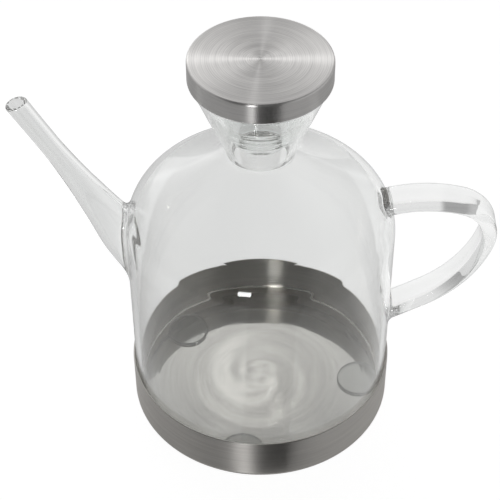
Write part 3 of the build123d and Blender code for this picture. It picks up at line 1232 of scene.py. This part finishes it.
front_and_back = ramp(sky, to_back, places=(-0.35, 0.4), levels=(0.15, 0.5))
right_panel = ramp(sky, to_right, places=(0.2, 0.8), levels=(0.0, 0.7))
left_panel = ramp(sky, to_right, places=(-0.4, -0.9), levels=(0.0, 0.46))
all_round = maths(sky, "MAXIMUM", front_and_back, maths(sky, "MAXIMUM", right_panel, left_panel))
screen = maths(
    sky, "MULTIPLY",
    band(to_right, rise=(-0.75, -0.55), fall=(0.3, 0.22)),
    ramp(sky, to_back, places=(0.2, 0.4), levels=(0.0, 0.65)),
)
overhead = ramp(sky, upward, places=(0.62, 0.92), levels=(1.0, 0.45))
from_glow = add_node(
    sky, "ShaderNodeVectorMath", {0: toward, 1: glow_direction}, operation="DISTANCE"
).outputs["Value"]
floor_glow = ramp(sky, from_glow, places=(0.0, glow_radius), levels=(glow_level, 0.0))
panels = maths(sky, "MULTIPLY", maths(sky, "ADD", all_round, screen), overhead)
studio = maths(sky, "ADD", panels, floor_glow)

either_side = add_node(sky, "ShaderNodeVectorMath", {0: toward}, operation="ABSOLUTE").outputs["Vector"]
sideways = add_node(sky, "ShaderNodeSeparateXYZ", {"Vector": either_side}).outputs["X"]
strips = maths(
    sky, "MULTIPLY",
    band(sideways, rise=(0.15, 0.3), fall=(0.6, 0.5)),
    band(to_back, rise=(0.74, 0.8), fall=(0.87, 0.81), level=strip_level),
)
print("glow towards", glow_direction, "and strips of level", strip_level)

# %% What each kind of ray sees
glass_share = 0.81
glass_lift = 0.05
camera_white = 1.0

world_rays = add_node(sky, "ShaderNodeLightPath").outputs
through_glass = maths(sky, "ADD", maths(sky, "MULTIPLY", studio, glass_share), glass_lift)
indirect = add_node(sky, "ShaderNodeMix", {
    "Factor": world_rays["Is Transmission Ray"],
    "A": maths(sky, "ADD", studio, strips),
    "B": through_glass,
}, data_type="FLOAT").outputs["Result"]
brightness = add_node(sky, "ShaderNodeMix", {
    "Factor": world_rays["Is Camera Ray"],
    "A": indirect,
    "B": camera_white,
}, data_type="FLOAT").outputs["Result"]
shine = add_node(sky, "ShaderNodeBackground", {"Strength": brightness})
add_node(sky, "ShaderNodeOutputWorld", {"Surface": shine.outputs["Background"]})
print("world of", len(sky.nodes), "nodes")

# %% [markdown]
# ## Lamps and a sheet of painted shade
#
# Two soft lamps add what the world is too even for.  The one in front on the left brightens the tray's
# wall and draws small clear highlights on the glass, and a weak strip overhead adds glints in the
# neck.  Steel looks like steel when it mirrors something dark next to something light.  So a near-black
# sheet of painted shade lies on the floor in front of the cruet, where only mirror rays meet it: it
# paints the floor's shade there into the reflections in the steel and the glass.

# %% Lamps
def soft_lamp(name, place, target, width, height, power):
    """A rectangular soft lamp at place that faces target; power in watts."""
    lamp = bpy.data.lights.new(name, "AREA")
    lamp.shape = "RECTANGLE"
    lamp.size, lamp.size_y = width, height
    lamp.energy = power
    holder = bpy.data.objects.new(name, lamp)
    bpy.context.scene.collection.objects.link(holder)
    holder.location = place
    aim = np.array(target) - np.array(place)
    holder.rotation_mode = "QUATERNION"
    holder.rotation_quaternion = Vector(aim).to_track_quat("-Z", "Y")
    print("lamp %s, %.2f m away, %.1f W" % (name, np.linalg.norm(aim), power))


soft_lamp(
    "overhead", place=(-0.11, -0.1, 1.5), target=(-0.11, -0.1, 0), width=0.03, height=0.5, power=0.2
)
soft_lamp(
    "front_left", place=(-0.252, -1.16, 0.475), target=(0, 0, 0.1), width=0.21, height=0.17, power=2.2
)

# %% Sheet of painted shade
shade_card_height = 0.5 * mm
# Painted shade: a near-black sheet that only mirror rays see, standing for the shaded floor in front of the
# cruet
shade_tone = 0.03
shade_card_corners = [(-0.012, -0.056), (0.012, -0.056), (0.6, -0.95), (-0.12, -0.95)]
shade_card, shade_card_tree = stage_sheet("painted_shade_card", shade_card_corners, shade_card_height)
shade_card.visible_camera = False
shade_card.visible_diffuse = False
shade_card.visible_shadow = False
shade_card.visible_transmission = False
shade_card_tree.nodes["Principled BSDF"].inputs["Base Color"].default_value = (shade_tone, shade_tone, shade_tone, 1)
print("shade_card", shade_card.name, "lies", shade_card_height / mm, "mm above the floor")

# %% [markdown]
# ## Camera
#
# The photograph looks down on the cruet from close by.  Fitting the circles of the tray and the lid
# gave the camera's place, its tilt and its lens, with a picture centre that lies a little beside the
# cruet's axis, which the lens shift repeats.

# %% Camera
camera_back = 426.5 * mm
camera_height = 484.4 * mm
camera_dip = 43.847
picture = 500.0
focal_pixels = 1518.7
axis_pixel = 260.54

camera_data = bpy.data.cameras.new("camera")
camera = bpy.data.objects.new("camera", camera_data)
bpy.context.scene.collection.objects.link(camera)
camera.location = (0, -camera_back, camera_height)
camera.rotation_euler = (radians(90 - camera_dip), 0, 0)
camera_data.sensor_width = 36.0
camera_data.lens = focal_pixels / picture * camera_data.sensor_width
camera_data.shift_x = (picture / 2 - axis_pixel) / picture
camera_data.clip_start = 0.01
bpy.context.scene.camera = camera
bpy.context.scene.view_settings.view_transform = "Standard"
print("lens of %.1f mm" % camera_data.lens)

# %% [markdown]
# ## Long light paths
#
# Light that gets into the glass wall runs on inside it, mirrored hundreds of times, until it comes out
# at an edge.  A path that is cut short leaves a black patch there, so the paths may be long.

# %% Long light paths
longest_path = 300
bpy.context.scene.cycles.max_bounces = longest_path
bpy.context.scene.cycles.transmission_bounces = longest_path
bpy.context.scene.cycles.glossy_bounces = longest_path
print("paths of up to", longest_path, "bounces")
